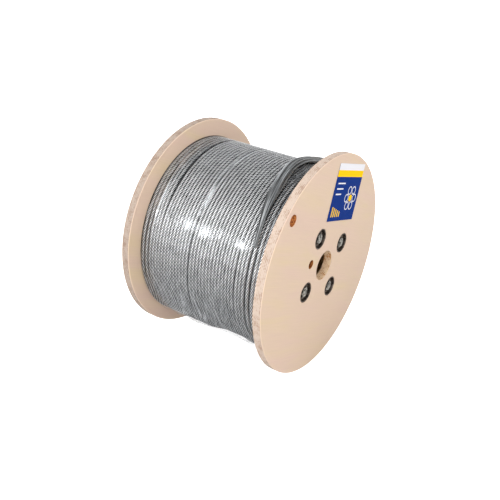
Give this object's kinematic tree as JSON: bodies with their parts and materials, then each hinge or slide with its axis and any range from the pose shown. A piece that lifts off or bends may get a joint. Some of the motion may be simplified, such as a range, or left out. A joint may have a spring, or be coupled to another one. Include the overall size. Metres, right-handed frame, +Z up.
{
  "type": "reel of wire rope",
  "caption": "Plywood reel wound full of galvanised wire rope and wrapped in clear stretch film, lying on its flange rims, with a spindle bore, through bolts in recesses and a label.",
  "frame": {"origin": "on the reel's axis, midway between the flanges", "axes": "+X along the reel's axis towards the labelled flange, +Z up as the reel lies on its rims"},
  "size_m": [0.2756, 0.3794, 0.3794],
  "materials": {
    "plywood": "raw sanded birch plywood",
    "tube_board": "spiral-wound kraft board",
    "rope_wire": "drawn galvanised wire, laid in strands",
    "film": "clear stretch film, glossy and creased",
    "zinc_steel": "dull zinc plate",
    "dark_steel": "blackened pressed steel",
    "label_paper": "coated printed paper"
  },
  "bodies": {
    "root": {"flange_near": "plywood", "flange_far": "plywood", "barrel_tube": "tube_board", "wire_rope_winding": "rope_wire", "stretch_film": "film", "through_bolt_1": "zinc_steel", "through_bolt_2": "zinc_steel", "through_bolt_3": "zinc_steel", "through_bolt_4": "zinc_steel", "hex_nut_1": "zinc_steel", "hex_nut_2": "zinc_steel", "hex_nut_3": "zinc_steel", "hex_nut_4": "zinc_steel", "cup_washer_near_1": "dark_steel", "cup_washer_near_2": "dark_steel", "cup_washer_near_3": "dark_steel", "cup_washer_near_4": "dark_steel", "cup_washer_far_1": "dark_steel", "cup_washer_far_2": "dark_steel", "cup_washer_far_3": "dark_steel", "cup_washer_far_4": "dark_steel", "paper_label": "label_paper"}
  },
  "joints": []
}
